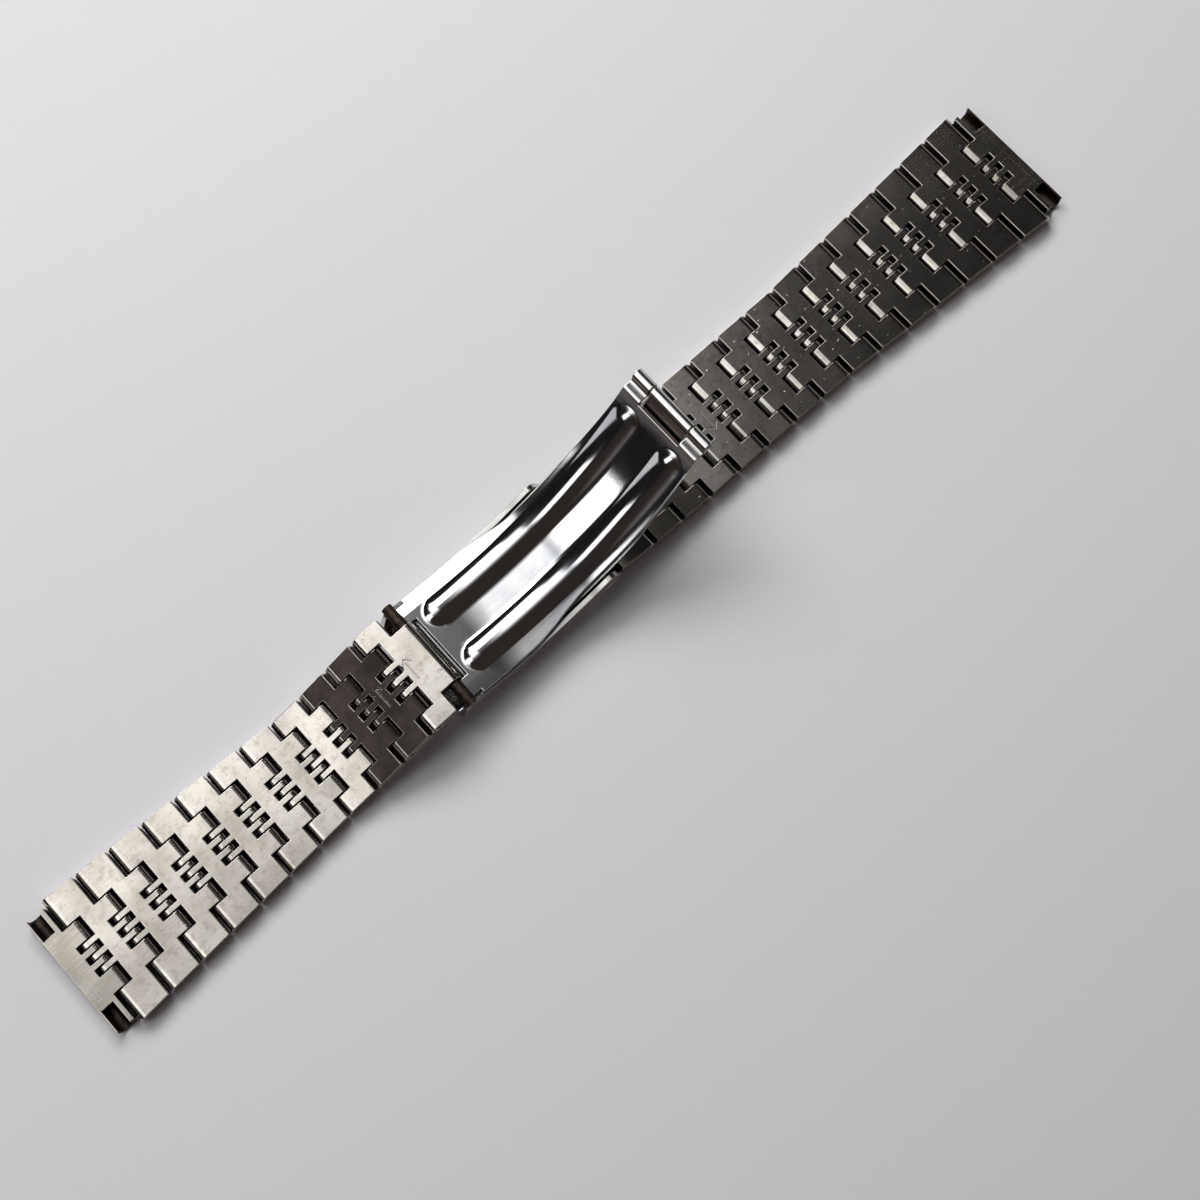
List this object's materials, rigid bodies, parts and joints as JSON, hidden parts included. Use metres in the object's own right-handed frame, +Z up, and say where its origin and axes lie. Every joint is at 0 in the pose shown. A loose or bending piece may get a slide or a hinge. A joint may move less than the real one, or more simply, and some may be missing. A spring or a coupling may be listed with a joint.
{
  "type": "watch bracelet",
  "caption": "Steel link bracelet for a wrist watch, with tapering interlocked links on pins, bored end pieces and a folding clasp whose cover has a row of adjustment holes.",
  "frame": {"origin": "the middle of the bracelet's length and width, on the table that it lies on", "axes": "+X along the bracelet towards the a lug end, +Y across it, +Z up, out of its inner side"},
  "size_m": [0.1624, 0.0196, 0.0213],
  "materials": {
    "link_steel": "stainless steel, faces brushed along the bracelet and worn bright at the edges",
    "end_steel": "stainless steel, satin",
    "cover_steel": "stainless steel sheet, polished, with fine wear scratches",
    "blade_steel": "stainless steel sheet, mirror-polished, with two pressed ribs",
    "pin_steel": "drawn steel wire with cut ends",
    "spring_bar_steel": "turned steel, satin"
  },
  "bodies": {
    "cover": {"cover": "cover_steel", "cover_hinge_pin": "pin_steel"},
    "inner_blade": {"inner_blade": "blade_steel"},
    "outer_blade": {"outer_blade": "blade_steel", "blade_hinge_pin": "pin_steel", "clasp_pin": "pin_steel"},
    "spring_bar_tip_front": {"spring_bar_tip_front": "spring_bar_steel"},
    "spring_bar_tip_back": {"spring_bar_tip_back": "spring_bar_steel"},
    "link_a15": {"link_a15": "link_steel", "link_pin_a14": "pin_steel", "spring_bar_tube": "spring_bar_steel", "spring_bar_spring": "spring_bar_steel"},
    "link_a14": {"link_a14": "link_steel", "link_pin_a13": "pin_steel"},
    "link_a13": {"link_a13": "link_steel", "link_pin_a12": "pin_steel"},
    "link_a12": {"link_a12": "link_steel", "link_pin_a11": "pin_steel"},
    "link_a11": {"link_a11": "link_steel", "link_pin_a10": "pin_steel"},
    "link_a10": {"link_a10": "link_steel"},
    "link_a09": {"link_a09": "link_steel"},
    "link_a08": {"link_a08": "link_steel"},
    "link_a07": {"link_a07": "link_steel"},
    "link_a06": {"link_a06": "link_steel"},
    "link_a05": {"link_a05": "link_steel"},
    "link_a04": {"link_a04": "link_steel"},
    "link_a03": {"link_a03": "link_steel"},
    "link_a02": {"link_a02": "link_steel"},
    "link_a01": {"link_a01": "link_steel"},
    "end_piece_a": {"end_piece_a": "end_steel"},
    "link_b11": {"link_b11": "link_steel", "link_pin_b10": "pin_steel"},
    "link_b10": {"link_b10": "link_steel", "link_pin_b09": "pin_steel"},
    "link_b09": {"link_b09": "link_steel"},
    "link_b08": {"link_b08": "link_steel"},
    "link_b07": {"link_b07": "link_steel"},
    "link_b06": {"link_b06": "link_steel"},
    "link_b05": {"link_b05": "link_steel"},
    "link_b04": {"link_b04": "link_steel"},
    "link_b03": {"link_b03": "link_steel"},
    "link_b02": {"link_b02": "link_steel"},
    "link_b01": {"link_b01": "link_steel"},
    "end_piece_b": {"end_piece_b": "end_steel"}
  },
  "joints": [
    {"name": "clasp_open", "type": "hinge", "parent": "cover", "child": "inner_blade", "pos_m": [-0.02115, 0, 0.00419], "axis": [0, -1, 0], "range_deg": [0, 160]},
    {"name": "blade_fold", "type": "hinge", "parent": "inner_blade", "child": "outer_blade", "pos_m": [0.01743, 0, 0.02052], "axis": [0, -1, 0], "range_deg": [-160, 0]},
    {"name": "link_a15_hinge", "type": "hinge", "parent": "cover", "child": "link_a15", "pos_m": [0.00008, 0, 0.00434], "axis": [0, -1, 0], "range_deg": [-6, 18]},
    {"name": "link_a14_hinge", "type": "hinge", "parent": "link_a15", "child": "link_a14", "pos_m": [0.00721, 0, 0.00236], "axis": [0, -1, 0], "range_deg": [-25.21, 12.79]},
    {"name": "link_a13_hinge", "type": "hinge", "parent": "link_a14", "child": "link_a13", "pos_m": [0.01215, 0, 0.00164], "axis": [0, -1, 0], "range_deg": [-21.26, 16.74]},
    {"name": "link_a12_hinge", "type": "hinge", "parent": "link_a13", "child": "link_a12", "pos_m": [0.01713, 0, 0.0012], "axis": [0, -1, 0], "range_deg": [-23.05, 14.95]},
    {"name": "link_a11_hinge", "type": "hinge", "parent": "link_a12", "child": "link_a11", "pos_m": [0.02213, 0, 0.0012], "axis": [0, -1, 0], "range_deg": [-18, 20]},
    {"name": "link_a10_hinge", "type": "hinge", "parent": "link_a11", "child": "link_a10", "pos_m": [0.02713, 0, 0.0012], "axis": [0, -1, 0], "range_deg": [-18, 20]},
    {"name": "link_a09_hinge", "type": "hinge", "parent": "link_a10", "child": "link_a09", "pos_m": [0.03213, 0, 0.0012], "axis": [0, -1, 0], "range_deg": [-18, 20]},
    {"name": "link_a08_hinge", "type": "hinge", "parent": "link_a09", "child": "link_a08", "pos_m": [0.03713, 0, 0.0012], "axis": [0, -1, 0], "range_deg": [-18, 20]},
    {"name": "link_a07_hinge", "type": "hinge", "parent": "link_a08", "child": "link_a07", "pos_m": [0.04213, 0, 0.0012], "axis": [0, -1, 0], "range_deg": [-18, 20]},
    {"name": "link_a06_hinge", "type": "hinge", "parent": "link_a07", "child": "link_a06", "pos_m": [0.04713, 0, 0.0012], "axis": [0, -1, 0], "range_deg": [-18, 20]},
    {"name": "link_a05_hinge", "type": "hinge", "parent": "link_a06", "child": "link_a05", "pos_m": [0.05213, 0, 0.0012], "axis": [0, -1, 0], "range_deg": [-18, 20]},
    {"name": "link_a04_hinge", "type": "hinge", "parent": "link_a05", "child": "link_a04", "pos_m": [0.05713, 0, 0.0012], "axis": [0, -1, 0], "range_deg": [-18, 20]},
    {"name": "link_a03_hinge", "type": "hinge", "parent": "link_a04", "child": "link_a03", "pos_m": [0.06213, 0, 0.0012], "axis": [0, -1, 0], "range_deg": [-18, 20]},
    {"name": "link_a02_hinge", "type": "hinge", "parent": "link_a03", "child": "link_a02", "pos_m": [0.06713, 0, 0.0012], "axis": [0, -1, 0], "range_deg": [-18, 20]},
    {"name": "link_a01_hinge", "type": "hinge", "parent": "link_a02", "child": "link_a01", "pos_m": [0.07213, 0, 0.0012], "axis": [0, -1, 0], "range_deg": [-18, 20]},
    {"name": "end_piece_a_hinge", "type": "hinge", "parent": "link_a01", "child": "end_piece_a", "pos_m": [0.07713, 0, 0.0012], "axis": [0, -1, 0], "range_deg": [-18, 20]},
    {"name": "link_b11_hinge", "type": "hinge", "parent": "outer_blade", "child": "link_b11", "pos_m": [-0.02299, 0, 0.00647], "axis": [0, -1, 0], "range_deg": [-18, 12]},
    {"name": "link_b10_hinge", "type": "hinge", "parent": "link_b11", "child": "link_b10", "pos_m": [-0.02797, 0, 0.00603], "axis": [0, -1, 0], "range_deg": [-36.18, 1.82]},
    {"name": "link_b09_hinge", "type": "hinge", "parent": "link_b10", "child": "link_b09", "pos_m": [-0.03264, 0, 0.00423], "axis": [0, -1, 0], "range_deg": [-21.04, 16.96]},
    {"name": "link_b08_hinge", "type": "hinge", "parent": "link_b09", "child": "link_b08", "pos_m": [-0.03726, 0, 0.00233], "axis": [0, -1, 0], "range_deg": [-10.86, 27.14]},
    {"name": "link_b07_hinge", "type": "hinge", "parent": "link_b08", "child": "link_b07", "pos_m": [-0.04213, 0, 0.0012], "axis": [0, -1, 0], "range_deg": [-6.9, 31.1]},
    {"name": "link_b06_hinge", "type": "hinge", "parent": "link_b07", "child": "link_b06", "pos_m": [-0.04713, 0, 0.0012], "axis": [0, -1, 0], "range_deg": [-20, 18]},
    {"name": "link_b05_hinge", "type": "hinge", "parent": "link_b06", "child": "link_b05", "pos_m": [-0.05213, 0, 0.0012], "axis": [0, -1, 0], "range_deg": [-20, 18]},
    {"name": "link_b04_hinge", "type": "hinge", "parent": "link_b05", "child": "link_b04", "pos_m": [-0.05713, 0, 0.0012], "axis": [0, -1, 0], "range_deg": [-20, 18]},
    {"name": "link_b03_hinge", "type": "hinge", "parent": "link_b04", "child": "link_b03", "pos_m": [-0.06213, 0, 0.0012], "axis": [0, -1, 0], "range_deg": [-20, 18]},
    {"name": "link_b02_hinge", "type": "hinge", "parent": "link_b03", "child": "link_b02", "pos_m": [-0.06713, 0, 0.0012], "axis": [0, -1, 0], "range_deg": [-20, 18]},
    {"name": "link_b01_hinge", "type": "hinge", "parent": "link_b02", "child": "link_b01", "pos_m": [-0.07213, 0, 0.0012], "axis": [0, -1, 0], "range_deg": [-20, 18]},
    {"name": "end_piece_b_hinge", "type": "hinge", "parent": "link_b01", "child": "end_piece_b", "pos_m": [-0.07713, 0, 0.0012], "axis": [0, -1, 0], "range_deg": [-20, 18]},
    {"name": "spring_bar_tip_front_slide", "type": "slide", "parent": "link_a15", "child": "spring_bar_tip_front", "axis": [0, 1, 0], "range_m": [0, 0.001]},
    {"name": "spring_bar_tip_back_slide", "type": "slide", "parent": "link_a15", "child": "spring_bar_tip_back", "axis": [0, -1, 0], "range_m": [0, 0.001]}
  ],
  "couplings": [
    {"joint": "blade_fold", "follows": "clasp_open", "ratio": -1}
  ]
}
